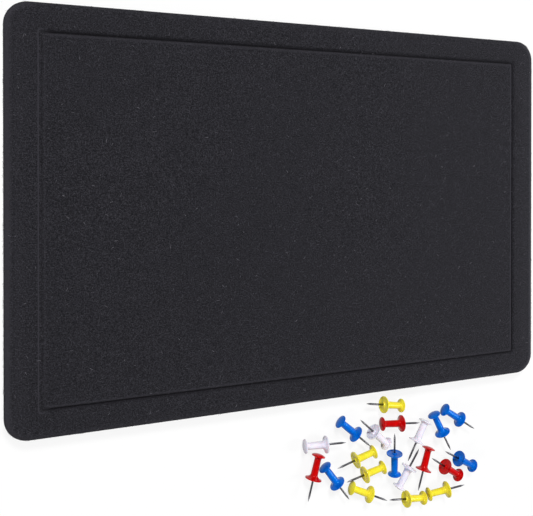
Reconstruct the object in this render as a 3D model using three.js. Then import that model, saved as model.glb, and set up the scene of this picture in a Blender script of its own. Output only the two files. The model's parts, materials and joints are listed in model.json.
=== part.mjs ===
// Felt bulletin board lying face up, with its loose push pins beside its lower long edge.
// Millimetres. +X runs along the board's long side, +Y towards its upper edge, +Z out of the felt face.
// The origin is the middle of the back, on the paper of the middle fixing strip.
import * as THREE from 'three';

// Board outline
const boardWidth = 300;
const boardHeight = 200;
const cornerRadius = 11;
const cornerSegments = 8;

// Layers of the board, from the face to the back
const faceThickness = 2.2;
const coreThickness = 4.4;
const backThickness = 1.4;
const skirtThickness = 2;
const layerFit = 0.3;

// Rolled edge between the felt's face and its skirt
const rollWidth = 5;
const rollDrop = 2.6;
const rollSteps = 6;

// Pressed line that frames the pinning panel
const lineSideMargin = 16.2;
const lineEndMargin = 13.8;
const lineDepth = 1.3;
const lineFloorWidth = 0.24;
const lineInnerWallWidth = 0.9;
const lineOuterSlopeWidth = 1.9;
const lineCornerRadius = 0.9;
const lineCornerSpreadShare = 0.4;
const slopeKneeShare = 0.4;
const slopeKneeDepthShare = 0.38;

// Adhesive strips on the back, each with its paper
const stripCount = 3;
const stripLength = 230;
const stripWidth = 22;
const stripThickness = 1;
const stripCornerRadius = 1.5;
const stripCornerSegments = 4;
const stripInset = 18;
const paperThickness = 0.15;

// Push pin head, a moulded spool: distances along it start at the needle side of the base flange
const headLength = 13.5;
const baseRadius = 4.5;
const baseRimThickness = 0.75;
const baseConeHeight = 1.05;
const topRadius = 3.7;
const topRimThickness = 0.6;
const topConeHeight = 0.6;
const domeHeight = 0.75;
const gripBaseRadius = 1.95;
const gripTopRadius = 1.8;
const flareWidth = 0.6;
const flareLength = 0.9;
const rimRound = 0.25;
const dishDepth = 0.3;
const dishRimWidth = 0.8;
const hubRadius = 1.2;
const hubHeight = 0.35;
const hubFootWidth = 0.6;
const headSegments = 12;
const domeShoulderShare = 0.62;
const domeShoulderHeightShare = 0.7;

// Push pin needle
const needleRadius = 0.55;
const needleLength = 11.5;
const needleSunk = 7.5;
const needlePointLength = 3;
const needleFit = 0.1;
const needleSegments = 8;
const pointKneeRadiusShare = 0.55;
const pointKneeShare = 0.55;

// Scatter of the loose pins on the surface that the board lies on
const pinLength = headLength + needleLength;
const scatterStepShare = 1.29;
const scatterStep = pinLength * scatterStepShare;
const scatterAcross = 53;
const pinToBoardGap = 4;

// Each pin's colour, its middle as shares of the scatter step, and the way its point faces in degrees
const pinPlaces = [
  { colour: 'yellow', acrossShare: -0.13, upShare: 0.86, heading: 169 },
  { colour: 'yellow', acrossShare: -0.68, upShare: -0.01, heading: -168 },
  { colour: 'yellow', acrossShare: -0.5, upShare: -0.29, heading: -171 },
  { colour: 'yellow', acrossShare: -0.44, upShare: -0.64, heading: -25 },
  { colour: 'yellow', acrossShare: 0.33, upShare: -0.86, heading: 171 },
  { colour: 'yellow', acrossShare: 1.15, upShare: -0.84, heading: 5 },
  { colour: 'red', acrossShare: 0.19, upShare: 0.49, heading: -5 },
  { colour: 'red', acrossShare: -1.49, upShare: -0.18, heading: -107 },
  { colour: 'red', acrossShare: 0.67, upShare: -0.38, heading: -110 },
  { colour: 'red', acrossShare: 1.14, upShare: -0.43, heading: 145 },
  { colour: 'blue', acrossShare: 1.43, upShare: 0.4, heading: -34 },
  { colour: 'blue', acrossShare: -0.71, upShare: 0.44, heading: -41 },
  { colour: 'blue', acrossShare: -1.06, upShare: -0.34, heading: -54 },
  { colour: 'blue', acrossShare: 0.07, upShare: -0.04, heading: 92 },
  { colour: 'blue', acrossShare: 1.06, upShare: 0.22, heading: -64 },
  { colour: 'blue', acrossShare: 1.44, upShare: -0.33, heading: 149 },
  { colour: 'white', acrossShare: -1.28, upShare: 0.34, heading: -2 },
  { colour: 'white', acrossShare: -0.34, upShare: 0.41, heading: 137 },
  { colour: 'white', acrossShare: 0.53, upShare: 0.14, heading: -122 },
  { colour: 'white', acrossShare: 0.36, upShare: -0.33, heading: 59 },
];

// Heights above the surface
const paperTop = paperThickness;
const boardBack = paperTop + stripThickness;
const coreBottom = boardBack + backThickness;
const coreTop = coreBottom + coreThickness;
const faceTop = coreTop + faceThickness;

const materials = {
  felt: new THREE.MeshStandardMaterial({ color: 0x2e2d32, roughness: 1, metalness: 0 }),
  core: new THREE.MeshStandardMaterial({ color: 0x3c3c40, roughness: 0.95, metalness: 0 }),
  adhesive: new THREE.MeshStandardMaterial({ color: 0xe9e7e0, roughness: 0.8, metalness: 0 }),
  paper: new THREE.MeshStandardMaterial({ color: 0xf4efe2, roughness: 0.6, metalness: 0 }),
  yellow: new THREE.MeshStandardMaterial({ color: 0xffe11e, roughness: 0.25, metalness: 0 }),
  red: new THREE.MeshStandardMaterial({ color: 0xe1050f, roughness: 0.25, metalness: 0 }),
  blue: new THREE.MeshStandardMaterial({ color: 0x0055d7, roughness: 0.25, metalness: 0 }),
  white: new THREE.MeshStandardMaterial({ color: 0xe6e1f0, roughness: 0.3, metalness: 0 }),
  steel: new THREE.MeshStandardMaterial({ color: 0x9a9aa0, roughness: 0.3, metalness: 1 }),
};

function named(name, geometry, material) {
  const mesh = new THREE.Mesh(geometry, material);
  mesh.name = name;
  return mesh;
}

// Points of a rounded rectangle, counterclockwise from the right end of its lower right corner
function roundedOutline(halfWidth, halfHeight, radius, segments) {
  const points = [];
  const quarter = Math.PI / 2;
  const signs = [[1, -1], [1, 1], [-1, 1], [-1, -1]];
  signs.forEach(([across, up], corner) => {
    for (let step = 0; step <= segments; step += 1) {
      const angle = (corner - 1 + step / segments) * quarter;
      const x = across * (halfWidth - radius) + radius * Math.cos(angle);
      const y = up * (halfHeight - radius) + radius * Math.sin(angle);
      points.push(new THREE.Vector2(x, y));
    }
  });
  return points;
}

function slab(halfWidth, halfHeight, radius, segments, bottom, thickness) {
  const shape = new THREE.Shape(roundedOutline(halfWidth, halfHeight, radius, segments));
  const geometry = new THREE.ExtrudeGeometry(shape, { depth: thickness, bevelEnabled: false });
  geometry.translate(0, 0, bottom);
  return geometry;
}

// One closed skin through a row of rings, with a middle point at both ends
function ringSkin(rings, firstMiddle, lastMiddle) {
  const positions = [];
  const index = [];
  const count = rings[0].length;
  rings.flat().forEach((point) => positions.push(point.x, point.y, point.z));
  const first = positions.length / 3;
  positions.push(firstMiddle.x, firstMiddle.y, firstMiddle.z);
  positions.push(lastMiddle.x, lastMiddle.y, lastMiddle.z);
  const last = first + 1;
  const lastRing = (rings.length - 1) * count;
  for (let step = 0; step < count; step += 1) {
    const next = (step + 1) % count;
    index.push(first, step, next);
    index.push(last, lastRing + next, lastRing + step);
    for (let ring = 0; ring < rings.length - 1; ring += 1) {
      const inner = ring * count;
      const outer = inner + count;
      index.push(inner + step, outer + step, outer + next);
      index.push(inner + step, outer + next, inner + next);
    }
  }
  const geometry = new THREE.BufferGeometry();
  geometry.setAttribute('position', new THREE.Float32BufferAttribute(positions, 3));
  geometry.setIndex(index);
  geometry.computeVertexNormals();
  return geometry;
}

function ringAt(halfWidth, halfHeight, radius, height) {
  const outline = roundedOutline(halfWidth, halfHeight, radius, cornerSegments);
  return outline.map((point) => new THREE.Vector3(point.x, point.y, height));
}

// Felt face with its pressed line, rolled edge and skirt, moulded as one tray
function frontFelt() {
  const halfWidth = boardWidth / 2;
  const halfHeight = boardHeight / 2;
  const lineRing = (offset, depth) => ringAt(
    halfWidth - lineSideMargin + offset,
    halfHeight - lineEndMargin + offset,
    lineCornerRadius + offset * lineCornerSpreadShare,
    faceTop - depth,
  );
  const edgeRing = (inset, height) => ringAt(
    halfWidth - inset,
    halfHeight - inset,
    cornerRadius - inset,
    height,
  );
  const halfFloor = lineFloorWidth / 2;
  const knee = halfFloor + lineOuterSlopeWidth * slopeKneeShare;
  const rings = [
    lineRing(-halfFloor - lineInnerWallWidth, 0),
    lineRing(-halfFloor, lineDepth),
    lineRing(halfFloor, lineDepth),
    lineRing(knee, lineDepth * slopeKneeDepthShare),
    lineRing(halfFloor + lineOuterSlopeWidth, 0),
  ];
  for (let step = 0; step <= rollSteps; step += 1) {
    const angle = (Math.PI / 2) * (step / rollSteps);
    const inset = rollWidth * (1 - Math.sin(angle));
    rings.push(edgeRing(inset, faceTop - rollDrop * (1 - Math.cos(angle))));
  }
  rings.push(edgeRing(0, boardBack));
  rings.push(edgeRing(skirtThickness, boardBack));
  rings.push(edgeRing(skirtThickness, coreTop));
  const faceMiddle = new THREE.Vector3(0, 0, faceTop);
  const underMiddle = new THREE.Vector3(0, 0, coreTop);
  return named('front_felt', ringSkin(rings, faceMiddle, underMiddle), materials.felt);
}

// Inner board and back felt fill the tray inside its skirt
function inlay(name, bottom, thickness, material) {
  const inset = skirtThickness + layerFit;
  const geometry = slab(
    boardWidth / 2 - inset,
    boardHeight / 2 - inset,
    cornerRadius - inset,
    cornerSegments,
    bottom,
    thickness,
  );
  return named(name, geometry, material);
}

// Fixing strips across the back, the middle one through the board's centre
function fixingStrips() {
  const group = new THREE.Group();
  const spread = boardHeight / 2 - stripInset - stripWidth / 2;
  for (let strip = 0; strip < stripCount; strip += 1) {
    const place = new THREE.Group();
    place.position.y = spread * ((2 * strip) / (stripCount - 1) - 1);
    const layer = (name, bottom, thickness, material) => named(
      name,
      slab(stripLength / 2, stripWidth / 2, stripCornerRadius, stripCornerSegments, bottom, thickness),
      material,
    );
    place.add(layer(`adhesive_strip_${strip + 1}`, paperTop, stripThickness, materials.adhesive));
    place.add(layer(`strip_paper_${strip + 1}`, 0, paperThickness, materials.paper));
    group.add(place);
  }
  return group;
}

// The spool's outline, from the bottom of the needle's bore round to the dome
function headGeometry() {
  const boreRadius = (needleRadius + needleFit) / Math.cos(Math.PI / headSegments);
  const boreDepth = needleSunk + needleFit;
  const baseConeEnd = baseRimThickness + baseConeHeight;
  const topRimEnd = headLength - domeHeight;
  const topRimStart = topRimEnd - topRimThickness;
  const topConeStart = topRimStart - topConeHeight;
  const profile = [
    [0, boreDepth],
    [boreRadius, boreDepth],
    [boreRadius, -hubHeight],
    [hubRadius, -hubHeight],
    [hubRadius + hubFootWidth, dishDepth],
    [baseRadius - dishRimWidth, dishDepth],
    [baseRadius - rimRound, 0],
    [baseRadius, rimRound],
    [baseRadius, baseRimThickness],
    [gripBaseRadius + flareWidth, baseConeEnd],
    [gripBaseRadius, baseConeEnd + flareLength],
    [gripTopRadius, topConeStart - flareLength],
    [gripTopRadius + flareWidth, topConeStart],
    [topRadius, topRimStart],
    [topRadius, topRimEnd],
    [topRadius * domeShoulderShare, topRimEnd + domeHeight * domeShoulderHeightShare],
    [0, headLength],
  ];
  const points = profile.map(([radius, along]) => new THREE.Vector2(radius, along));
  return new THREE.LatheGeometry(points, headSegments);
}

function needleGeometry() {
  const shaftEnd = needlePointLength - needleLength;
  const profile = [
    [0, -needleLength],
    [needleRadius * pointKneeRadiusShare, shaftEnd - needlePointLength * pointKneeShare],
    [needleRadius, shaftEnd],
    [needleRadius, needleSunk],
    [0, needleSunk],
  ];
  const points = profile.map(([radius, along]) => new THREE.Vector2(radius, along));
  return new THREE.LatheGeometry(points, needleSegments);
}

// A pin lies on the rims of its two flanges, so its point is a little higher than its top
function pin(name, place) {
  const topRimEnd = headLength - domeHeight;
  const tilt = Math.atan2(baseRadius - topRadius, topRimEnd - baseRimThickness);
  const lift = baseRimThickness * Math.sin(tilt) + baseRadius * Math.cos(tilt);
  const alongAxis = new THREE.Group();
  alongAxis.rotation.z = Math.PI / 2;
  alongAxis.add(named(`${name}_head`, headGeometry(), materials[place.colour]));
  alongAxis.add(named(`${name}_needle`, needleGeometry(), materials.steel));
  const lying = new THREE.Group();
  lying.rotation.y = -tilt;
  lying.position.x = (headLength - needleLength) / 2;
  lying.position.z = lift;
  lying.add(alongAxis);
  const turned = new THREE.Group();
  turned.rotation.z = THREE.MathUtils.degToRad(place.heading);
  turned.position.x = scatterAcross + place.acrossShare * scatterStep;
  turned.position.y = place.upShare * scatterStep - scatterStep - pinToBoardGap - boardHeight / 2;
  turned.add(lying);
  return turned;
}

const board = new THREE.Group();
board.add(frontFelt());
board.add(inlay('pin_core', coreBottom, coreThickness, materials.core));
board.add(inlay('back_felt', boardBack, backThickness, materials.felt));
board.add(fixingStrips());

const pins = new THREE.Group();
const colourCounts = {};
pinPlaces.forEach((place) => {
  colourCounts[place.colour] = (colourCounts[place.colour] ?? 0) + 1;
  pins.add(pin(`${place.colour}_pin_${colourCounts[place.colour]}`, place));
});

const bulletinBoard = new THREE.Group();
bulletinBoard.add(board);
bulletinBoard.add(pins);

export default bulletinBoard;
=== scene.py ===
import json
import math
from collections import namedtuple

import bpy
import numpy as np
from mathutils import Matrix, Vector, noise

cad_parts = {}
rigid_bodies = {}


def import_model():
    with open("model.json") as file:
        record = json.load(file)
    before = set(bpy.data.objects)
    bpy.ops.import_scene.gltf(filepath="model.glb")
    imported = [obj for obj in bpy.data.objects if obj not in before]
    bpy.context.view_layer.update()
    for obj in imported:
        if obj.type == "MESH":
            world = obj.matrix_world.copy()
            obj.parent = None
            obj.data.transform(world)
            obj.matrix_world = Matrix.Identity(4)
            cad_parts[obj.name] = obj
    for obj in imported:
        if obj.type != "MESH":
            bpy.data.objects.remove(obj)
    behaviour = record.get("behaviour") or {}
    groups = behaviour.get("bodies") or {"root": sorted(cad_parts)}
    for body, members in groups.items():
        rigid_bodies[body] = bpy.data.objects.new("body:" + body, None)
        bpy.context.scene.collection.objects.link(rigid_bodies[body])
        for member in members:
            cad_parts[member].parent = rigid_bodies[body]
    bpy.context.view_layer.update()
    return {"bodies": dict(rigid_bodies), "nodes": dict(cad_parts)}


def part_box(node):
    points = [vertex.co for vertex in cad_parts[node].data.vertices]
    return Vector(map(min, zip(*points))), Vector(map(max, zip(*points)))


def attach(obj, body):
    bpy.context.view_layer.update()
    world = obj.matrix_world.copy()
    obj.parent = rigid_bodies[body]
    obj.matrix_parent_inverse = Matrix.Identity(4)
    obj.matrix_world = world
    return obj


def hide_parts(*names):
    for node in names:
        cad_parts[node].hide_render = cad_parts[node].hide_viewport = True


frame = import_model()

MM = 0.001

# Camera at the photograph's viewing angle, over the board's left end. Its lens is shifted, because the short
# sides of the board stay parallel in the photograph
PHOTO_WIDTH = 533
PHOTO_HEIGHT = 516
AXIS_PIXEL = Vector((266.5, 168.0))
LENS_PIXELS = 679.6
SENSOR_WIDTH = 36.0
CAMERA_PLACE = Vector((-151.0, 25.7, 333.9)) * MM
CAMERA_TURN = math.radians(-21.36)
CAMERA_PITCH = math.radians(-0.27)
CAMERA_NEAR = 10 * MM
CAMERA_FAR = 20.0

# Round white sweep that the object lies on, in metres: a floor, a bend and a low wall
FLOOR_DROP = 0.02 * MM
SWEEP_REACH = 3.0
SWEEP_BEND = 1.0
SWEEP_HEIGHT = 1.8
SWEEP_STEPS = 8
SWEEP_SEGMENTS = 64

# Even light from all round, and three soft round lamps, in metres. A white surface square to a lamp shows
# the lamp's level
Lamp = namedtuple("Lamp", "place width level")
LAMP_AIM = Vector((0.0, -0.03, 0.0))
LAMPS = {
    "top_lamp": Lamp(Vector((-0.14, 1.2, 1.35)), width=0.42, level=0.77),
    "right_lamp": Lamp(Vector((1.1, -0.1, 0.9)), width=0.45, level=0.37),
    "left_lamp": Lamp(Vector((-1.1, -0.6, 0.65)), width=0.45, level=0.29),
}
EVEN_LEVEL = 0.24

# Felt face: corners, rolled edge and upright skirt
BOARD_CORNER = 11.0 * MM
ROLL_WIDTH = 5.0 * MM
ROLL_DROP = 2.6 * MM
SKIRT_THICKNESS = 2.0 * MM

# Pressed line: its place in from the edges, its section from the panel outwards, and its sharp corners
LINE_SIDE_MARGIN = 16.2 * MM
LINE_END_MARGIN = 13.8 * MM
LINE_DEPTH = 1.3 * MM
LINE_HALF_FLOOR = 0.12 * MM
LINE_INNER_WALL = 0.9 * MM
LINE_OUTER_SLOPE = 1.9 * MM
LINE_SLOPE_POWER = 1.7
LINE_CORNER_SHARE = 0.4
LIP_HEIGHT = 0.12 * MM
LIP_WIDTH = 1.0 * MM
LIP_MIDDLE = LIP_WIDTH / 3
LIP_SPREAD = LIP_WIDTH / 2
CREST_SHARE = 0.64
CREST_SPREAD = 0.32 * MM

# The line is pressed less deep on the board's left and right sides, with less painted highlight and shade
# there, and comes to that over a short run
LEFT_LINE_SHARE = 0.36
RIGHT_LINE_SHARE = 0.8
LINE_RUN = 4 * MM

# How strong the painted highlight is on the line's lip and outer crest, on the border and over the rolled
# edge, and how much of it the right and low sides get. Low down the edge gets painted shade
LIP_PAINTED_HIGHLIGHT = 0.8
RIGHT_LIP_PAINTED_HIGHLIGHT = 0.8
CREST_PAINTED_HIGHLIGHT = 1.5
BORDER_PAINTED_HIGHLIGHT = 0.45
ROLL_PAINTED_HIGHLIGHT = 1.3
ROLL_HIGHLIGHT_POWER = 0.75
ROLL_HIGHLIGHT_END_SHARE = 0.75
ROLL_PAINTED_SHADE_SHARE = 0.6
RIGHT_HIGHLIGHT_SHARE = 1.25
LOW_HIGHLIGHT_SHARE = 0.45

# How finely the felt face is divided
FELT_STEP = 1.2 * MM
LINE_STEP = 0.13 * MM
BORDER_STEPS = 8
ROLL_STEPS = 14
SKIRT_STEPS = 5

# Slow waves and fine mat of the pressed felt
WAVE_LENGTH = 70 * MM
WAVE_HEIGHT = 0.18 * MM
MAT_LENGTH = 3.0 * MM
MAT_HEIGHT = 0.07 * MM

# Loose fibres of the felt and specks of pale lint on it: how many to a square metre, and the size of one. A
# real fibre is 0.02 mm thick, and these are thicker so that they show
LOOSE_FIBRES = {"Density": 130000.0, "Length": 2.8 * MM, "Rise": 0.34 * MM, "Radius": 0.03 * MM, "Seed": 11}
PALE_LINT = {"Density": 5500.0, "Length": 1.5 * MM, "Rise": 0.12 * MM, "Radius": 0.055 * MM, "Seed": 23}

# Layers on the back: corner radius, how finely they are divided, and how far their undersides are from flat
Layer = namedtuple("Layer", "corner step wave_length wave_height")
BACK_FELT = Layer(corner=8.7 * MM, step=2.4 * MM, wave_length=30 * MM, wave_height=0.2 * MM)
FOAM_TAPE = Layer(corner=1.5 * MM, step=2.0 * MM, wave_length=6 * MM, wave_height=0.06 * MM)
RELEASE_PAPER = Layer(corner=1.5 * MM, step=2.0 * MM, wave_length=25 * MM, wave_height=0.05 * MM)
LAYER_ROUND_SHARE = 0.45
LAYER_EDGE_STEPS = 4

# Push pins: how finely they are divided, and how near two measures are the same on their CAD solids
HEAD_SEGMENTS = 48
NEEDLE_SEGMENTS = 20
DOME_STEPS = 8
NEAR_RADIUS = 0.1 * MM
NEAR_END = 0.05 * MM
SAME_CORNER_DIGITS = 6

# A needle's ground point and chamfered end. The bulge shares are of its radius and of its point's length
POINT_LENGTH = 3.0 * MM
POINT_TIP = (0.05 * MM, 0.06 * MM)
POINT_BULGE_SHARES = (0.95, 0.75)
NEEDLE_CHAMFER = 0.1 * MM

# A spool's underside: the needle's bore, the hub round it, and the dish between hub and rim. Here and below,
# a pair is a point of the outline: how far out from the place that it is added to, and how far up
NEEDLE_ROOM = 0.02 * MM
BORE_CHAMFER = 0.1 * MM
HUB_RADIUS = 1.2 * MM
HUB_ROUND = 0.15 * MM
HUB_DRAFT = 0.1 * MM
HUB_FOOT = 1.9 * MM
DISH_DEPTH = 0.3 * MM
DISH_ROUND = 0.3 * MM
DISH_RIM = 0.8 * MM
DISH_BREAK = np.array((0.2, 0.1)) * MM

# A spool's grip, which flares into both flanges. A pull bends the curve that runs to the next point
GRIP_BASE_RADIUS = 1.95 * MM
GRIP_TOP_RADIUS = 1.8 * MM
BASE_SHOULDER_PULL = np.array((1.2, 0.35)) * MM
BASE_SHOULDER = np.array((0.55, 0.9)) * MM
BASE_NECK_PULL = np.array((0.0, 1.36)) * MM
BASE_NECK = np.array((0.0, 2.2)) * MM
GRIP_STEP_SHARES = (0.33, 0.66, 1.0)
TOP_NECK = np.array((0.0, -1.6)) * MM
TOP_SHOULDER_PULL = np.array((0.0, -0.9)) * MM
TOP_SHOULDER = np.array((0.5, -0.5)) * MM
TOP_RIM_PULL = np.array((1.05, -0.06)) * MM

# A spool's rounded rims, the dome of its top, and the low ridge where the mould's halves met
RIM_ROUND = 0.16 * MM
DOME_ROUND = 2 * RIM_ROUND
DOME_POWER = 2.2
PARTING_HEIGHT = 0.05 * MM
PARTING_DEGREES = 5.0

# Sockets of a Mix node that mixes colours
MIX_SHARE, MIX_BASE, MIX_OVER, MIX_RESULT = 0, 6, 7, 2


def clamp(value):
    """Keeps a value between 0 and 1."""
    return min(max(value, 0), 1)


def colour(code):
    """Linear red, green, blue and alpha of an sRGB hex colour."""
    knee, slope, offset, power = 0.04045, 12.92, 0.055, 2.4
    linear = []
    for start in (0, 2, 4):
        part = int(code[start:start + 2], 16) / 255
        linear.append(part / slope if part <= knee else ((part + offset) / (1 + offset)) ** power)
    return (*linear, 1.0)


def add_node(tree, kind, feeds=None, **settings):
    """Adds a node with its settings. Its inputs take values, outputs, or the first output of a node."""
    made = tree.nodes.new(kind)
    for name, value in settings.items():
        setattr(made, name, value)
    for socket, value in (feeds or {}).items():
        if isinstance(value, bpy.types.Node):
            value = value.outputs[0]
        if isinstance(value, bpy.types.NodeSocket):
            tree.links.new(value, made.inputs[socket])
        else:
            made.inputs[socket].default_value = value
    return made


def new_material(name):
    """A node material without nodes, and its tree."""
    material = bpy.data.materials.new(name)
    material.use_nodes = True
    material.node_tree.nodes.clear()
    return material, material.node_tree


def set_surface(tree, finish):
    """Ends a material in a surface of that finish."""
    surface = add_node(tree, "ShaderNodeBsdfPrincipled", finish)
    add_node(tree, "ShaderNodeOutputMaterial", {"Surface": surface})


def lay_over(tree, base, over, value, low=0.0, high=1.0, most=1.0):
    """Lays a colour over a base colour, from none of it at the low value to most of it at the high one."""
    share_feeds = {"Value": value, "From Min": low, "From Max": high, "To Max": most}
    share = add_node(tree, "ShaderNodeMapRange", share_feeds)
    mix_feeds = {MIX_SHARE: share, MIX_BASE: base, MIX_OVER: over}
    return add_node(tree, "ShaderNodeMix", mix_feeds, data_type="RGBA").outputs[MIX_RESULT]


def crossing_strands(tree, place):
    """Thin wandering strands that cross one another, in a value from 0 between them to 1 on them."""
    length, width, turns = 3.5 * MM, 0.35 * MM, (0.3, 0.95, 1.6, 2.2, 2.85)
    field_middle, edge = 0.5, 0.07
    strands = 0.0
    for turn in turns:
        lay_feeds = {"Vector": place, "Rotation": (0, 0, turn), "Scale": (length, width, width)}
        lay = add_node(tree, "ShaderNodeMapping", lay_feeds, vector_type="TEXTURE")
        field_feeds = {"Vector": lay, "Scale": 1.0, "Detail": 1.0, "Distortion": 0.7}
        field = add_node(tree, "ShaderNodeTexNoise", field_feeds)
        away = add_node(tree, "ShaderNodeMath", {0: field, 1: field_middle}, operation="SUBTRACT")
        away = add_node(tree, "ShaderNodeMath", {0: away}, operation="ABSOLUTE")
        strand = add_node(tree, "ShaderNodeMapRange", {"Value": away, "From Min": edge, "From Max": 0.0})
        strands = add_node(tree, "ShaderNodeMath", {0: strands, 1: strand}, operation="MAXIMUM")
    return strands


def needled_felt(name, dark, mid, pale, painted_highlight, pressed):
    """Needled polyester felt, hot pressed: matt and fuzzy, a mat of crossing fibres, with painted highlight
    where the mesh's painted light is above 0 and painted shade, in the colour named pressed, where it is
    below 0. Real fibres are 0.02 mm thick. These are drawn 0.35 mm thick so that they show."""
    fine_size, clump_size, tuft_size, cloud_size = 0.6 * MM, 1.3 * MM, 7 * MM, 45 * MM
    tuft_share = 0.35
    material, tree = new_material(name)
    place = add_node(tree, "ShaderNodeTexCoord").outputs["Object"]
    nap = add_node(tree, "ShaderNodeAttribute", attribute_name="nap").outputs["Fac"]
    strands = crossing_strands(tree, place)
    fine_feeds = {"Vector": place, "Scale": 1 / fine_size, "Detail": 2.0, "Roughness": 0.7}
    fine = add_node(tree, "ShaderNodeTexNoise", fine_feeds)
    clumps = add_node(tree, "ShaderNodeTexNoise", {"Vector": place, "Scale": 1 / clump_size, "Detail": 1.0})
    tufts = add_node(tree, "ShaderNodeTexNoise", {"Vector": place, "Scale": 1 / tuft_size, "Detail": 1.0})
    clouds = add_node(tree, "ShaderNodeTexNoise", {"Vector": place, "Scale": 1 / cloud_size, "Detail": 2.0})
    grain = add_node(tree, "ShaderNodeMath", {0: clumps, 1: fine}, operation="ADD")
    shade = add_node(tree, "ShaderNodeMath", {0: tufts, 1: tuft_share, 2: grain}, operation="MULTIPLY_ADD")
    gaps = add_node(tree, "ShaderNodeMapRange", {"Value": fine, "From Min": 0.4, "From Max": 0.7})
    shown = add_node(tree, "ShaderNodeMath", {0: strands, 1: gaps}, operation="MULTIPLY")
    base = lay_over(tree, colour(dark), colour(mid), shade, low=0.95, high=1.43)
    base = lay_over(tree, base, colour(mid), clouds, low=0.3, high=0.7, most=0.15)
    base = lay_over(tree, base, colour(pale), shown, most=0.7)
    # Painted highlight on the line's lip and crest, on the border and over the rolled edge; painted shade,
    # in the colour named pressed, deep in the line and low on the edge
    base = lay_over(tree, base, colour(painted_highlight), nap, low=0.1, high=1.6)
    base = lay_over(tree, base, colour(pressed), nap, low=-0.2, high=-0.9, most=0.85)
    relief = add_node(tree, "ShaderNodeMath", {0: strands, 1: grain}, operation="ADD")
    bump = add_node(tree, "ShaderNodeBump", {"Height": relief, "Strength": 0.6, "Distance": 0.15 * MM})
    set_surface(tree, {
        "Base Color": base,
        "Roughness": 0.95,
        "IOR": 1.5,
        "Specular IOR Level": 0.1,
        "Sheen Weight": 0.14,
        "Sheen Roughness": 0.5,
        "Sheen Tint": colour("b2b0bc"),
        "Normal": bump,
    })
    return material


def moulded_polystyrene(kind, plain, deep, shine, soak):
    """Injection moulded polystyrene: glossy, with faint flow and scuffs, and thin rims that let light in."""
    flow_size, scuff_size, soak_depth = 3.0 * MM, 0.5 * MM, 1.2 * MM
    material, tree = new_material(kind + "_polystyrene")
    place = add_node(tree, "ShaderNodeTexCoord").outputs["Object"]
    flow = add_node(tree, "ShaderNodeTexNoise", {"Vector": place, "Scale": 1 / flow_size, "Detail": 2.0})
    scuff_feeds = {"Vector": place, "Scale": 1 / scuff_size, "Detail": 3.0, "Roughness": 0.7}
    scuffs = add_node(tree, "ShaderNodeTexNoise", scuff_feeds)
    polish_feeds = {"Value": scuffs, "From Min": 0.4, "From Max": 0.8, "To Min": 0.1, "To Max": 0.22}
    polish = add_node(tree, "ShaderNodeMapRange", polish_feeds)
    bump = add_node(tree, "ShaderNodeBump", {"Height": scuffs, "Strength": 0.04, "Distance": 0.03 * MM})
    set_surface(tree, {
        "Base Color": lay_over(tree, colour(plain), colour(deep), flow, low=0.3, high=0.75),
        "Roughness": polish,
        "IOR": 1.55,
        "Specular IOR Level": 0.34,
        "Specular Tint": colour(shine),
        "Subsurface Weight": soak,
        "Subsurface Radius": (1.0, 0.8, 0.8),
        "Subsurface Scale": soak_depth,
        "Normal": bump,
    })
    return material


def drawn_steel():
    """Drawn steel wire with a ground point: bright, with fine marks along its length."""
    mark_size, mark_stretch = 0.12 * MM, (1.0, 0.06, 1.0)
    material, tree = new_material("drawn_steel_wire")
    uv = add_node(tree, "ShaderNodeUVMap", uv_map="round_along")
    stretch = add_node(tree, "ShaderNodeMapping", {"Vector": uv, "Scale": mark_stretch})
    marks = add_node(tree, "ShaderNodeTexNoise", {"Vector": stretch, "Scale": 1 / mark_size, "Detail": 3.0})
    polish_feeds = {"Value": marks, "From Min": 0.3, "From Max": 0.7, "To Min": 0.22, "To Max": 0.36}
    polish = add_node(tree, "ShaderNodeMapRange", polish_feeds)
    bump = add_node(tree, "ShaderNodeBump", {"Height": marks, "Strength": 0.25, "Distance": 0.01 * MM})
    set_surface(tree, {
        "Base Color": lay_over(tree, colour("5a5a5e"), colour("86858a"), marks, low=0.35, high=0.7),
        "Metallic": 1.0,
        "Roughness": polish,
        "Normal": bump,
    })
    return material


def pressed_fibre_board():
    """Dense pressed fibre board: matt, with coarse flecks."""
    fleck_size, pit_size = 1.6 * MM, 0.5 * MM
    material, tree = new_material("pressed_fibre_board")
    place = add_node(tree, "ShaderNodeTexCoord").outputs["Object"]
    flecks = add_node(tree, "ShaderNodeTexNoise", {"Vector": place, "Scale": 1 / fleck_size, "Detail": 4.0})
    pits = add_node(tree, "ShaderNodeTexNoise", {"Vector": place, "Scale": 1 / pit_size, "Detail": 2.0})
    bump = add_node(tree, "ShaderNodeBump", {"Height": pits, "Strength": 0.5, "Distance": 0.2 * MM})
    set_surface(tree, {
        "Base Color": lay_over(tree, colour("303034"), colour("5c5b5e"), flecks, low=0.35, high=0.7),
        "Roughness": 0.95,
        "Normal": bump,
    })
    return material


def foam_tape():
    """Polyethylene foam tape: white and matt, with fine closed pores."""
    pore_spacing = 0.45 * MM
    material, tree = new_material("polyethylene_foam_tape")
    place = add_node(tree, "ShaderNodeTexCoord").outputs["Object"]
    pores = add_node(tree, "ShaderNodeTexVoronoi", {"Vector": place, "Scale": 1 / pore_spacing})
    walls = add_node(tree, "ShaderNodeMapRange", {"Value": pores, "From Min": 0.1, "From Max": 0.6})
    bump = add_node(tree, "ShaderNodeBump", {"Height": walls, "Strength": 0.5, "Distance": 0.1 * MM})
    set_surface(tree, {
        "Base Color": lay_over(tree, colour("cfccc4"), colour("eeece6"), walls),
        "Roughness": 0.75,
        "Normal": bump,
    })
    return material


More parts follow.
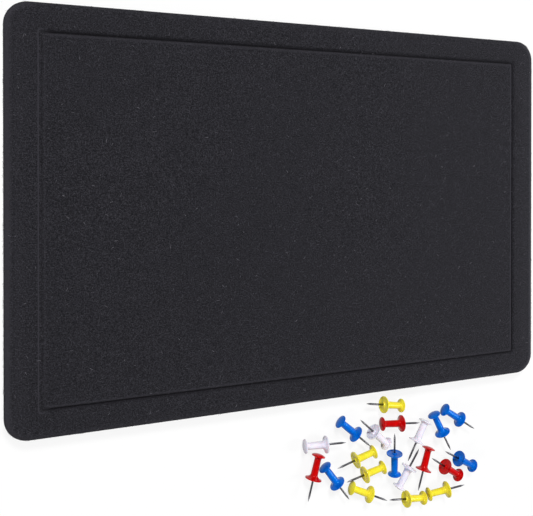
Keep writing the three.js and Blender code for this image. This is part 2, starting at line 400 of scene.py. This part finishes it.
def release_paper():
    """Siliconised release paper: smooth and cream, with a soft shine and faint fibres."""
    fibre_size, crease_size = 0.8 * MM, 22 * MM
    material, tree = new_material("release_paper")
    place = add_node(tree, "ShaderNodeTexCoord").outputs["Object"]
    fibres = add_node(tree, "ShaderNodeTexNoise", {"Vector": place, "Scale": 1 / fibre_size, "Detail": 4.0})
    crease_feeds = {"Vector": place, "Scale": 1 / crease_size, "Detail": 1.0}
    creases = add_node(tree, "ShaderNodeTexNoise", crease_feeds)
    bump = add_node(tree, "ShaderNodeBump", {"Height": creases, "Strength": 0.3, "Distance": 0.4 * MM})
    set_surface(tree, {
        "Base Color": lay_over(tree, colour("f1ead8"), colour("f8f4e9"), fibres, low=0.35, high=0.7),
        "Roughness": 0.4,
        "IOR": 1.46,
        "Normal": bump,
    })
    return material


# The board's felt, and the same felt painted paler for the loose fibres, as a painted highlight for the
# light they catch, and paler for lint. The colour named pressed is each one's painted shade
FELT = needled_felt(
    "black_needled_felt", dark="101013", mid="1c1c21", pale="4b4a50", painted_highlight="37363c", pressed="151418"
)
FIBRE = needled_felt(
    "loose_felt_fibre", dark="34333a", mid="504f56", pale="7a7881", painted_highlight="45444b", pressed="1a191d"
)
LINT = needled_felt(
    "pale_lint", dark="75737b", mid="8b8991", pale="a5a3aa", painted_highlight="8b8991", pressed="75737b"
)
CORE = pressed_fibre_board()
TAPE = foam_tape()
PAPER = release_paper()
STEEL = drawn_steel()

# The pins' plastics: plain colour, the same where it flowed deeper, the tint of its shine, and how much
# light soaks in
PLASTICS = {
    "yellow": moulded_polystyrene("yellow", plain="fcee42", deep="f6e034", shine="fff6a8", soak=0.3),
    "red": moulded_polystyrene("red", plain="d20606", deep="b80204", shine="ff8e8a", soak=0.05),
    "blue": moulded_polystyrene("blue", plain="006edc", deep="005ac2", shine="6cbcff", soak=0.05),
    "white": moulded_polystyrene("white", plain="f4f0fe", deep="eae4f8", shine="ffffff", soak=0.5),
}


def new_piece(name, points, faces, material, uv=None):
    """A smooth shaded mesh object at the origin, with its place in its mesh."""
    mesh = bpy.data.meshes.new(name)
    mesh.from_pydata([tuple(point) for point in points], [], faces)
    mesh.update()
    mesh.materials.append(material)
    mesh.shade_smooth()
    if uv is not None:
        layer = mesh.uv_layers.new(name="round_along")
        layer.data.foreach_set("uv", np.asarray(uv, np.float32).ravel())
    piece = bpy.data.objects.new(name, mesh)
    bpy.context.scene.collection.objects.link(piece)
    return piece


def side_points(half, reach, radius, count):
    """Points along one side of a rounded rectangle, evenly from the middle of one corner arc to the next."""
    half_arc = radius * math.pi / 4
    straight = 2 * (half - radius)
    arc_middle, arc_end = 1.25 * math.pi, 1.5 * math.pi
    points = []
    for index in range(count):
        run = (straight + 2 * half_arc) * index / count
        if half_arc <= run <= half_arc + straight:
            points.append((run - half_arc - straight / 2, -reach))
            continue
        if run < half_arc:
            centre, angle = radius - half, arc_middle + run / radius
        else:
            centre, angle = half - radius, arc_end + (run - half_arc - straight) / radius
        points.append((centre + radius * math.cos(angle), radius - reach + radius * math.sin(angle)))
    return np.array(points)


def outline(half_x, half_y, radius, count_x, count_y):
    """A rounded rectangle, counterclockwise from the middle of its lower left corner."""
    low = side_points(half_x, half_y, radius, count_x)
    right = side_points(half_y, half_x, radius, count_y) @ np.array([[0, 1], [-1, 0]])
    return np.vstack([low, right, -low, -right])


# A ring of a shell: half sizes, corner radius and height. On the felt face it also has its painted light,
# the painted highlight added on the board's left and right sides, and says whether it is in the pressed
# line. Painted light above 0 is painted highlight, and below 0 painted shade, down to -1 where it is darkest
Ring = namedtuple(
    "Ring", "half_x half_y radius height nap left_nap right_nap in_line", defaults=(0.0, 0.0, 0.0, False)
)


def panel_grid(first, count_x, count_y, points, faces):
    """Fills a shell's first ring, a plain rectangle that starts the points, with a fine grid."""
    grid = {}
    for index in range(count_x):
        grid[index, 0] = index
        grid[count_x - index, count_y] = count_x + count_y + index
    for index in range(count_y):
        grid[count_x, index] = count_x + index
        grid[0, count_y - index] = 2 * count_x + count_y + index
    for row in range(1, count_y):
        for column in range(1, count_x):
            grid[column, row] = len(points)
            x = first.half_x * (2 * column / count_x - 1)
            y = first.half_y * (2 * row / count_y - 1)
            points.append([x, y, first.height])
    for row in range(count_y):
        for column in range(count_x):
            corners = ((column, row), (column + 1, row), (column + 1, row + 1), (column, row + 1))
            faces.append(tuple(grid[corner] for corner in corners))


def shell(rings, count_x, count_y):
    """Points and faces of a closed shell: a grid in the first ring, ring after ring, a fan in the last."""
    around = 2 * (count_x + count_y)
    points = []
    for ring in rings:
        for x, y in outline(ring.half_x, ring.half_y, ring.radius, count_x, count_y):
            points.append([x, y, ring.height])
    faces = []
    for start in range(0, (len(rings) - 1) * around, around):
        for index in range(around):
            here, after = start + index, start + (index + 1) % around
            faces.append((here, here + around, after + around, after))
    panel_grid(rings[0], count_x, count_y, points, faces)
    middle, last = len(points), (len(rings) - 1) * around
    points.append([0, 0, rings[-1].height])
    for index in range(around):
        faces.append((middle, last + (index + 1) % around, last + index))
    return points, faces


def line_shape(offset):
    """The pressed line at a distance outwards from its middle, in shares: its depth, how proud its inner lip
    stands, and how near its outer crest is."""
    inner = clamp((offset + LINE_HALF_FLOOR + LINE_INNER_WALL) / LINE_INNER_WALL)
    outer = clamp((offset - LINE_HALF_FLOOR) / LINE_OUTER_SLOPE)
    wall = inner * inner * (3 - 2 * inner)
    slope = (1 - outer) ** LINE_SLOPE_POWER
    lip = (offset + LINE_HALF_FLOOR + LINE_INNER_WALL + LIP_MIDDLE) / LIP_SPREAD
    crest = (offset - LINE_HALF_FLOOR - LINE_OUTER_SLOPE * CREST_SHARE) / CREST_SPREAD
    return wall * slope, math.exp(-lip * lip) * (1 - wall), math.exp(-crest * crest)


def line_rings(half_x, half_y, high):
    """Rings from the panel's edge over the lip, down into the pressed line and up its outer slope."""
    line_x, line_y = half_x - LINE_SIDE_MARGIN, half_y - LINE_END_MARGIN
    start = -(LINE_HALF_FLOOR + LINE_INNER_WALL + LIP_WIDTH)
    end = LINE_HALF_FLOOR + LINE_OUTER_SLOPE
    rings = []
    for offset in np.arange(start, end + LINE_STEP, LINE_STEP):
        depth, lip, crest = line_shape(offset)
        radius = max(0.0, offset - start) * LINE_CORNER_SHARE
        height = high - depth * LINE_DEPTH + lip * LIP_HEIGHT
        # Painted highlight on the lip and painted shade deep in the line; on the left side a painted
        # highlight on the outer crest, on the right side more on the lip
        painted_lights = (LIP_PAINTED_HIGHLIGHT * lip - depth, CREST_PAINTED_HIGHLIGHT * crest, RIGHT_LIP_PAINTED_HIGHLIGHT * lip)
        rings.append(Ring(line_x + offset, line_y + offset, radius, height, *painted_lights, in_line=True))
    return rings


def border_rings(line_end, half_x, half_y, high):
    """Flat rings from the end of the line to the start of the rolled edge, with painted highlight on the
    board's sides.
    """
    roll_start = (half_x - ROLL_WIDTH, half_y - ROLL_WIDTH, BOARD_CORNER - ROLL_WIDTH)
    painted_lights = (0.0, BORDER_PAINTED_HIGHLIGHT, BORDER_PAINTED_HIGHLIGHT * RIGHT_HIGHLIGHT_SHARE)
    rings = []
    for step in range(1, BORDER_STEPS + 1):
        share = step / BORDER_STEPS
        sizes = [near + (far - near) * share for near, far in zip(line_end[:3], roll_start)]
        rings.append(Ring(*sizes, high, *painted_lights))
    return rings


def roll_rings(half_x, half_y, high):
    """Rings over the rolled edge, a quarter of an ellipse: painted highlight as it turns over and painted
    shade low down.
    """
    rings = []
    for step in range(1, ROLL_STEPS + 1):
        angle = math.pi / 2 * step / ROLL_STEPS
        inset = ROLL_WIDTH * (1 - math.sin(angle))
        fall = 1 - math.cos(angle)
        # Painted shade low down on the edge, and painted highlight (pale) where it turns over
        nap = -max(0.0, (fall - ROLL_PAINTED_SHADE_SHARE) / (1 - ROLL_PAINTED_SHADE_SHARE))
        turn = min(1.0, fall / ROLL_HIGHLIGHT_END_SHARE) ** ROLL_HIGHLIGHT_POWER
        pale = ROLL_PAINTED_HIGHLIGHT * math.sin(math.pi * turn)
        sizes = (half_x - inset, half_y - inset, BOARD_CORNER - inset)
        rings.append(Ring(*sizes, high - ROLL_DROP * fall, nap, pale, pale * RIGHT_HIGHLIGHT_SHARE))
    return rings


def skirt_rings(half_x, half_y, low, high):
    """Rings down the upright skirt, all in full painted shade."""
    drop = high - ROLL_DROP - low
    rings = []
    for step in range(1, SKIRT_STEPS + 1):
        height = high - ROLL_DROP - drop * step / SKIRT_STEPS
        rings.append(Ring(half_x, half_y, BOARD_CORNER, height, nap=-1.0))
    return rings


def felt_wave(point, top):
    """How far the slow waves and the fine mat of a pressed felt move a point of its face."""
    slow = noise.noise(Vector(point) / WAVE_LENGTH)
    fine = noise.noise(Vector(point) / MAT_LENGTH)
    level = (point[2] - (top - 2 * ROLL_DROP)) / (2 * ROLL_DROP)
    return clamp(level) * (slow * WAVE_HEIGHT + fine * MAT_HEIGHT - WAVE_HEIGHT / 2)


def line_side(point, half_x):
    """How far over to the board's left or right side a point of the line lies, from 0 to 1, and how much of
    the line's depth and painted light it keeps there."""
    side = clamp((abs(point[0]) - (half_x - LINE_SIDE_MARGIN - LINE_RUN)) / LINE_RUN)
    share = RIGHT_LINE_SHARE if point[0] > 0 else LEFT_LINE_SHARE
    return side, 1 - (1 - share) * side


def edge_side(point, half_x, half_y):
    """How far over to the board's left, right or low side a point outside the line lies, from 0 to 1, which
    sets its painted highlight there. The low side counts for less."""
    side = clamp((abs(point[0]) - half_x + LINE_SIDE_MARGIN) / LINE_SIDE_MARGIN)
    low_side = clamp((-point[1] - half_y + BOARD_CORNER) / BOARD_CORNER)
    return max(side, low_side * LOW_HIGHLIGHT_SHARE)


def front_felt():
    """The moulded felt face: panel, pressed line, border, rolled edge and skirt as one closed shell."""
    low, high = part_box("front_felt")
    half_x, half_y = high.x, high.y
    line = line_rings(half_x, half_y, high.z)
    border = border_rings(line[-1], half_x, half_y, high.z)
    rings = line + border + roll_rings(half_x, half_y, high.z) + skirt_rings(half_x, half_y, low.z, high.z)
    inner = (half_x - SKIRT_THICKNESS, half_y - SKIRT_THICKNESS, BOARD_CORNER - SKIRT_THICKNESS)
    inside = [Ring(*inner, low.z), Ring(*inner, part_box("pin_core")[1].z)]
    count_x = round(2 * rings[0].half_x / FELT_STEP)
    count_y = round(2 * rings[0].half_y / FELT_STEP)
    around = 2 * (count_x + count_y)
    points, faces = shell(rings + inside, count_x, count_y)
    outer = len(rings) * around
    # The hollow for the core stays as it is: its two rings and the middle of its ceiling
    still = {*range(outer, outer + len(inside) * around), len(points) - 1}
    panel = Ring(half_x, half_y, BOARD_CORNER, high.z)
    painted_lights = []
    for index, point in enumerate(points):
        ring = rings[index // around] if index < outer else panel
        if ring.in_line:
            side, kept = line_side(point, half_x)
        else:
            side, kept = edge_side(point, half_x, half_y), 1
        # Each point's painted light: its ring's painted highlight and shade, and painted highlight added on
        # the board's sides
        side_painted_highlight = ring.right_nap if point[0] > 0 else ring.left_nap
        painted_lights.append(ring.nap * kept + side_painted_highlight * side)
        if index not in still:
            point[2] = high.z + (point[2] - high.z) * kept
            point[2] += felt_wave(point, high.z)
    piece = new_piece("pressed_felt_face", points, faces, FELT)
    piece.data.attributes.new("nap", "FLOAT", "POINT").data.foreach_set("value", painted_lights)
    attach(piece, "board")
    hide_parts("front_felt")
    return piece


def back_layer(name, node, layer, material):
    """A thin layer on the back: rounded corners, soft edges, and an underside that isn't quite flat."""
    low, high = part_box(node)
    middle = (low + high) / 2
    half_x, half_y, thickness = high.x - middle.x, high.y - middle.y, high.z - low.z
    edge = thickness * LAYER_ROUND_SHARE
    bevel = edge / 2
    rings = [Ring(half_x - layer.corner, half_y - layer.corner, 0.0, 0.0)]
    for step in range(LAYER_EDGE_STEPS + 1):
        angle = math.pi / 2 * step / LAYER_EDGE_STEPS
        inset = edge * (1 - math.sin(angle))
        sizes = (half_x - inset, half_y - inset, layer.corner - inset)
        rings.append(Ring(*sizes, -edge * (1 - math.cos(angle))))
    rings.append(Ring(half_x, half_y, layer.corner, bevel - thickness))
    rings.append(Ring(half_x - bevel, half_y - bevel, layer.corner - bevel, -thickness))
    points, faces = shell(rings, round(2 * half_x / layer.step), round(2 * half_y / layer.step))
    for point in points:
        x, y, depth = point
        swell = (1 + noise.noise(Vector((x, y, middle.y)) / layer.wave_length)) / 2
        fade = max(0.0, 1 + depth / edge)
        point[:] = (middle.x + x, middle.y - y, low.z - depth + layer.wave_height * swell * fade)
    piece = new_piece(name, points, faces, material)
    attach(piece, "board")
    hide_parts(node)
    return piece


def back_layers():
    """The flat felt on the back, and the foam strips with their release papers."""
    felt = back_layer("flat_back_felt", "back_felt", BACK_FELT, FELT)
    for strip in sorted(name for name in frame["nodes"] if name.startswith("adhesive_strip")):
        number = strip.split("_")[-1]
        foam = back_layer("foam_tape_" + number, strip, FOAM_TAPE, TAPE)
        back_layer("release_paper_" + number, "strip_paper_" + number, RELEASE_PAPER, PAPER)


def add_fibre(tree, given):
    """One short bent fibre at the origin, of the given length, rise and radius."""
    swing_share, steps, sides = 0.35, 3, 3
    half = add_node(tree, "ShaderNodeMath", {0: given["Length"], 1: 0.5}, operation="MULTIPLY")
    back = add_node(tree, "ShaderNodeMath", {0: half, 1: -1.0}, operation="MULTIPLY")
    swing = add_node(tree, "ShaderNodeMath", {0: half, 1: swing_share}, operation="MULTIPLY")
    bend = {
        "Start": add_node(tree, "ShaderNodeCombineXYZ", {"X": back}),
        "Middle": add_node(tree, "ShaderNodeCombineXYZ", {"Z": given["Rise"]}),
        "End": add_node(tree, "ShaderNodeCombineXYZ", {"X": half, "Y": swing}),
        "Resolution": steps,
    }
    path = add_node(tree, "GeometryNodeCurveQuadraticBezier", bend)
    section_feeds = {"Resolution": sides, "Radius": given["Radius"]}
    section = add_node(tree, "GeometryNodeCurvePrimitiveCircle", section_feeds)
    feeds = {"Curve": path, "Profile Curve": section, "Fill Caps": True}
    return add_node(tree, "GeometryNodeCurveToMesh", feeds)


def fibre_tree():
    """Geometry nodes that scatter short bent fibres over a surface, lying nearly flat on it."""
    lowest_facing, tilt, least_size, most_size = -0.5, 0.25, 0.4, 1.25
    tree = bpy.data.node_groups.new("scattered_fibres", "GeometryNodeTree")
    tree.interface.new_socket("Geometry", in_out="INPUT", socket_type="NodeSocketGeometry")
    for name in ("Density", "Length", "Rise", "Radius"):
        tree.interface.new_socket(name, in_out="INPUT", socket_type="NodeSocketFloat")
    tree.interface.new_socket("Seed", in_out="INPUT", socket_type="NodeSocketInt")
    tree.interface.new_socket("Material", in_out="INPUT", socket_type="NodeSocketMaterial")
    tree.interface.new_socket("Geometry", in_out="OUTPUT", socket_type="NodeSocketGeometry")
    given = add_node(tree, "NodeGroupInput").outputs
    normal = add_node(tree, "GeometryNodeInputNormal")
    facing = add_node(tree, "ShaderNodeSeparateXYZ", {0: normal}).outputs["Z"]
    outside = add_node(tree, "FunctionNodeCompare", {0: facing, 1: lowest_facing}, operation="GREATER_THAN")
    spread = add_node(tree, "GeometryNodeDistributePointsOnFaces", {
        "Mesh": given["Geometry"],
        "Selection": outside,
        "Density": given["Density"],
        "Seed": given["Seed"],
    })
    size_feeds = {2: least_size, 3: most_size, "Seed": given["Seed"]}
    size = add_node(tree, "FunctionNodeRandomValue", size_feeds, data_type="FLOAT").outputs[1]
    placed = add_node(tree, "GeometryNodeInstanceOnPoints", {
        "Points": spread.outputs["Points"],
        "Instance": add_fibre(tree, given),
        "Rotation": spread.outputs["Rotation"],
        "Scale": size,
    })
    turn_feeds = {"Min": (-tilt, -tilt, 0.0), "Max": (tilt, tilt, math.tau), "Seed": given["Seed"]}
    turn = add_node(tree, "FunctionNodeRandomValue", turn_feeds, data_type="FLOAT_VECTOR")
    turned_fibres = add_node(tree, "GeometryNodeRotateInstances", {"Instances": placed, "Rotation": turn})
    real = add_node(tree, "GeometryNodeRealizeInstances", {"Geometry": turned_fibres})
    done = add_node(tree, "GeometryNodeSetMaterial", {"Geometry": real, "Material": given["Material"]})
    add_node(tree, "NodeGroupOutput", {"Geometry": done})
    return tree


def bake_nodes(name, source, tree, values):
    """Runs a geometry node tree on a copy of a mesh and keeps the result as a plain mesh object."""
    carrier = bpy.data.objects.new(name + "_carrier", source.data)
    bpy.context.scene.collection.objects.link(carrier)
    modifier = carrier.modifiers.new(name, "NODES")
    modifier.node_group = tree
    for item in tree.interface.items_tree:
        if item.in_out == "INPUT" and item.name in values:
            modifier[item.identifier] = values[item.name]
    depsgraph = bpy.context.evaluated_depsgraph_get()
    mesh = bpy.data.meshes.new_from_object(carrier.evaluated_get(depsgraph))
    bpy.data.objects.remove(carrier)
    mesh.name = name
    piece = bpy.data.objects.new(name, mesh)
    bpy.context.scene.collection.objects.link(piece)
    return piece


def felt_fibres(felt):
    """Single fibres that stand off the felt, and lint that lies on it."""
    tree = fibre_tree()
    fibres = {
        "loose_felt_fibres": {**LOOSE_FIBRES, "Material": FIBRE},
        "pale_lint_specks": {**PALE_LINT, "Material": LINT},
    }
    for name, values in fibres.items():
        piece = bake_nodes(name, felt, tree, values)
        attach(piece, "board")


# A push pin as its CAD solids lie: the needle's tip, the way from it to the pin's top, how far off the sunk
# end is, the needle's radius, and how far along the axis and away from it each corner of the head is
Pin = namedtuple("Pin", "tip axis sunk needle_radius along away")

# A spool's main radii, and its heights measured from the needle's tip
Spool = namedtuple(
    "Spool", "bore bore_end face base_radius base_start base_end top_radius top_start top_edge top_end"
)


def axis_measures(points, tip, axis):
    """How far points lie along an axis, and how far away from it."""
    along = (points - tip) @ axis
    return along, np.linalg.norm(points - tip - np.outer(along, axis), axis=1)


def measure_pin(name):
    """Measures a pin on its CAD solids, which hold loose triangles that repeat their corners."""
    needle = np.array([vertex.co for vertex in frame["nodes"][name + "_needle"].data.vertices])
    head = np.array([vertex.co for vertex in frame["nodes"][name + "_head"].data.vertices])
    tip = needle[np.argmax(np.linalg.norm(needle - head.mean(0), axis=1))]
    reach = np.linalg.norm(needle - tip, axis=1)
    sunk_corners = np.unique(needle[reach > reach.max() - NEAR_END].round(SAME_CORNER_DIGITS), axis=0)
    sunk_way = sunk_corners.mean(0) - tip
    sunk = np.linalg.norm(sunk_way)
    axis = sunk_way / sunk
    needle_radius = axis_measures(needle, tip, axis)[1].max()
    return Pin(Vector(tip), Vector(axis), float(sunk), float(needle_radius), *axis_measures(head, tip, axis))


def measure_spool(pin):
    """Measures the head of a pin: its flanges are where it is widest in its lower and its upper half."""
    base_radius = pin.away.max()
    base_rim = pin.along[pin.away > base_radius - NEAR_RADIUS]
    face, top_end = pin.along.min(), pin.along.max()
    upper = pin.along > (face + top_end) / 2
    top_radius = pin.away[upper].max()
    top_rim = pin.along[upper & (pin.away > top_radius - NEAR_RADIUS)]
    return Spool(
        bore=pin.needle_radius + NEEDLE_ROOM,
        bore_end=pin.sunk + NEEDLE_ROOM,
        face=face,
        base_radius=base_radius,
        base_start=base_rim.min() - RIM_ROUND,
        base_end=base_rim.max(),
        top_radius=top_radius,
        top_start=top_rim.min(),
        top_edge=top_rim.max(),
        top_end=top_end,
    )


def arc_points(centre, radius, start, end, steps):
    """Points along an arc, with angles in degrees."""
    angles = np.radians(np.linspace(start, end, steps + 1))
    return [(centre[0] + radius * math.cos(angle), centre[1] + radius * math.sin(angle)) for angle in angles]


def curve_points(first, pull, last, steps):
    """Points along a quadratic curve, without its first one."""
    first, pull, last = (np.array(point) for point in (first, pull, last))
    shares = np.linspace(0, 1, steps + 1)[1:]
    return [tuple(first * (1 - s) ** 2 + pull * 2 * s * (1 - s) + last * s * s) for s in shares]


def add_underside(profile, spool):
    """The closed bore, the hub's end and side, and the dish up to the base flange's edge."""
    floor = spool.base_start + DISH_DEPTH
    rim = spool.base_radius - DISH_RIM
    hub_side = (HUB_RADIUS + HUB_DRAFT, spool.face + HUB_ROUND)
    dish_side = np.array((rim, spool.base_start)) + DISH_BREAK
    edge = (spool.base_radius - RIM_ROUND, spool.base_start)
    profile += [(0.0, spool.bore_end), (spool.bore, spool.bore_end), (spool.bore, spool.face + BORE_CHAMFER)]
    profile += [(spool.bore + BORE_CHAMFER, spool.face), (HUB_RADIUS - HUB_ROUND, spool.face)]
    profile += curve_points(profile[-1], (HUB_RADIUS, spool.face), hub_side, steps=3)
    profile += curve_points(profile[-1], (HUB_RADIUS + 2 * HUB_DRAFT, floor), (HUB_FOOT, floor), steps=4)
    profile += [(rim - DISH_ROUND, floor)]
    profile += curve_points(profile[-1], (rim, floor), dish_side, steps=3)
    profile += curve_points(profile[-1], (rim + DISH_ROUND, spool.base_start), edge, steps=2)


def add_base_rim(profile, spool):
    """The base flange's rounded rim."""
    middle = spool.base_radius - RIM_ROUND
    low, high = spool.base_start + RIM_ROUND, spool.base_end - RIM_ROUND
    profile += arc_points((middle, low), RIM_ROUND, start=-90, end=0, steps=3)[1:]
    profile += arc_points((middle, high), RIM_ROUND, start=0, end=75, steps=3)


def add_grip(profile, spool):
    """The grip between the flanges, which flares into both of them."""
    base = np.array((GRIP_BASE_RADIUS, spool.base_end))
    top = np.array((GRIP_TOP_RADIUS, spool.top_start))
    edge = (spool.top_radius - RIM_ROUND, spool.top_start)
    profile += curve_points(profile[-1], base + BASE_SHOULDER_PULL, base + BASE_SHOULDER, steps=5)
    profile += curve_points(profile[-1], base + BASE_NECK_PULL, base + BASE_NECK, steps=6)
    way = top + TOP_NECK - base - BASE_NECK
    profile += [tuple(base + BASE_NECK + way * share) for share in GRIP_STEP_SHARES]
    profile += curve_points(profile[-1], top + TOP_SHOULDER_PULL, top + TOP_SHOULDER, steps=6)
    profile += curve_points(profile[-1], top + TOP_RIM_PULL, edge, steps=4)


def add_top(profile, spool):
    """The top flange's rounded rim and its low dome."""
    rim_middle = (spool.top_radius - RIM_ROUND, spool.top_start + RIM_ROUND)
    dome_middle = (spool.top_radius - DOME_ROUND, spool.top_edge - DOME_ROUND)
    profile += arc_points(rim_middle, RIM_ROUND, start=-80, end=0, steps=3)
    profile += arc_points(dome_middle, DOME_ROUND, start=0, end=62, steps=4)
    radius, height = profile[-1]
    for step in range(1, DOME_STEPS):
        share = 1 - step / DOME_STEPS
        profile.append((radius * share, height + (spool.top_end - height) * (1 - share ** DOME_POWER)))
    profile.append((0.0, spool.top_end))


def head_profile(pin):
    """The spool's outline from its bore round both flanges to its dome: radius and distance from the tip."""
    profile, spool = [], measure_spool(pin)
    for add_part in (add_underside, add_base_rim, add_grip, add_top):
        add_part(profile, spool)
    return profile


def needle_profile(pin):
    """The needle's outline from its ground point to its sunk end: radius and distance from the tip."""
    radius, sunk = pin.needle_radius, pin.sunk
    bulge = (radius * POINT_BULGE_SHARES[0], POINT_LENGTH * POINT_BULGE_SHARES[1])
    profile = [(0.0, 0.0), POINT_TIP]
    profile += curve_points(POINT_TIP, bulge, (radius, POINT_LENGTH), steps=8)
    return profile + [(radius, sunk - NEEDLE_CHAMFER), (radius - NEEDLE_CHAMFER, sunk), (0.0, sunk)]


def turned(name, profile, pin, segments, material, parting=0.0):
    """A lathed piece about a pin's axis, from a profile of radius and distance from the tip that starts and
    ends on the axis. A parting ridge runs along it on two sides."""
    side = pin.axis.cross(Vector((0, 0, 1))).normalized()
    up = side.cross(pin.axis).normalized()
    points, starts = [], []
    for radius, along in profile:
        starts.append(len(points))
        middle = pin.tip + pin.axis * along
        if radius == 0:
            points.append(middle)
            continue
        for segment in range(segments):
            degrees = 360 * segment / segments
            from_ridge = min(degrees % 180, 180 - degrees % 180)
            grown = radius + parting * math.exp(-((from_ridge / PARTING_DEGREES) ** 2))
            angle = math.radians(degrees)
            points.append(middle + (side * math.cos(angle) + up * math.sin(angle)) * grown)
    faces, uv = [], []
    girth = math.tau * max(radius for radius, _ in profile)
    for step in range(len(profile) - 1):
        for segment in range(segments):
            after = segment + 1
            # A ring on the axis is one point, so two corners there count once
            corners = {}
            for turn, ring in ((segment, step), (segment, step + 1), (after, step + 1), (after, step)):
                radius, along = profile[ring]
                point = starts[ring] + (turn % segments if radius else 0)
                corners.setdefault(point, (girth * turn / segments, along))
            faces.append(tuple(corners))
            uv += corners.values()
    return new_piece(name, points, faces, material, uv)


def push_pins():
    """Every push pin of the frame gets a smooth moulded head and a steel needle where its solids lie."""
    for name in sorted(body for body in frame["bodies"] if "_pin_" in body):
        kind = name.split("_")[0]
        pin = measure_pin(name)
        head = turned(name + "_spool", head_profile(pin), pin, HEAD_SEGMENTS, PLASTICS[kind], PARTING_HEIGHT)
        wire = turned(name + "_wire", needle_profile(pin), pin, NEEDLE_SEGMENTS, STEEL)
        for piece, node, slot in ((head, "_head", kind + "_plastic"), (wire, "_needle", "needle_steel")):
            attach(piece, name)
            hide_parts(name + node)


def finish_core():
    """The inner board stays as it is, inside the felt, and gets its material."""
    core = frame["nodes"]["pin_core"]
    core.data.materials.clear()
    core.data.materials.append(CORE)


def make_camera():
    """The camera that took the photograph."""
    data = bpy.data.cameras.new("photo_camera")
    data.sensor_width = SENSOR_WIDTH
    data.lens = SENSOR_WIDTH * LENS_PIXELS / PHOTO_WIDTH
    data.shift_x = (PHOTO_WIDTH / 2 - AXIS_PIXEL.x) / PHOTO_WIDTH
    data.shift_y = (AXIS_PIXEL.y - PHOTO_HEIGHT / 2) / PHOTO_WIDTH
    data.clip_start, data.clip_end = CAMERA_NEAR, CAMERA_FAR
    camera = bpy.data.objects.new("photo_camera", data)
    camera.location = CAMERA_PLACE
    camera.rotation_euler = (CAMERA_PITCH, CAMERA_TURN, 0)
    bpy.context.scene.collection.objects.link(camera)
    bpy.context.scene.camera = camera


def matt_white_paint():
    """Matt white paint. To the camera and in reflections it is nearly full white, and keeps a soft shadow.
    As a source of bounced light it is grey, so that the object's undersides stay dark."""
    glow_share = 0.85
    material, tree = new_material("matt_white_paint")
    rays = add_node(tree, "ShaderNodeLightPath").outputs
    seen = rays["Is Camera Ray"]
    for ray in ("Is Glossy Ray", "Is Transmission Ray"):
        seen = add_node(tree, "ShaderNodeMath", {0: seen, 1: rays[ray]}, operation="MAXIMUM")
    paint = lay_over(tree, colour("5c5c5c"), colour("fafafa"), seen)
    diffuse = add_node(tree, "ShaderNodeBsdfDiffuse", {"Color": paint})
    glow = add_node(tree, "ShaderNodeEmission", {"Color": (1, 1, 1, 1), "Strength": 1.0})
    share = add_node(tree, "ShaderNodeMath", {0: seen, 1: glow_share}, operation="MULTIPLY")
    surface = add_node(tree, "ShaderNodeMixShader", {0: share, 1: diffuse, 2: glow})
    add_node(tree, "ShaderNodeOutputMaterial", {"Surface": surface})
    return material


def make_stage():
    """A round white sweep: a wide floor just under the object that curves up to a low wall."""
    rings = []
    for step in range(SWEEP_STEPS + 1):
        angle = math.pi / 2 * step / SWEEP_STEPS
        rise = SWEEP_BEND * (1 - math.cos(angle)) - FLOOR_DROP
        rings.append((SWEEP_REACH + SWEEP_BEND * math.sin(angle), rise))
    rings.append((SWEEP_REACH + SWEEP_BEND, SWEEP_HEIGHT))
    points = [(0.0, 0.0, -FLOOR_DROP)]
    for radius, height in rings:
        for segment in range(SWEEP_SEGMENTS):
            angle = math.tau * segment / SWEEP_SEGMENTS
            points.append((radius * math.cos(angle), radius * math.sin(angle), height))
    faces = []
    for segment in range(SWEEP_SEGMENTS):
        after = (segment + 1) % SWEEP_SEGMENTS
        faces.append((0, 1 + segment, 1 + after))
        for ring in range(len(rings) - 1):
            low = 1 + ring * SWEEP_SEGMENTS
            high = low + SWEEP_SEGMENTS
            faces.append((low + segment, high + segment, high + after, low + after))
    new_piece("white_sweep", points, faces, matt_white_paint())


def add_lamp(name, lamp):
    """A round soft lamp that aims at the object."""
    way = LAMP_AIM - lamp.place
    data = bpy.data.lights.new(name, "AREA")
    data.shape = "DISK"
    data.size = lamp.width
    data.energy = lamp.level * math.pi ** 2 * way.length_squared
    light = bpy.data.objects.new(name, data)
    light.location = lamp.place
    light.rotation_euler = way.to_track_quat("-Z", "Y").to_euler()
    light.visible_camera = False
    bpy.context.scene.collection.objects.link(light)


def make_lights():
    """Even light all round, a strong lamp beyond the board's top edge, and weaker ones on both sides."""
    world = bpy.data.worlds.new("even_studio_light")
    world.use_nodes = True
    world.node_tree.nodes.clear()
    even = add_node(world.node_tree, "ShaderNodeBackground", {"Color": (1, 1, 1, 1), "Strength": EVEN_LEVEL})
    add_node(world.node_tree, "ShaderNodeOutputWorld", {"Surface": even})
    bpy.context.scene.world = world
    for name, lamp in LAMPS.items():
        add_lamp(name, lamp)


make_camera()
make_stage()
make_lights()
felt_face = front_felt()
felt_fibres(felt_face)
back_layers()
push_pins()
finish_core()

bpy.context.scene.view_settings.view_transform = "Standard"
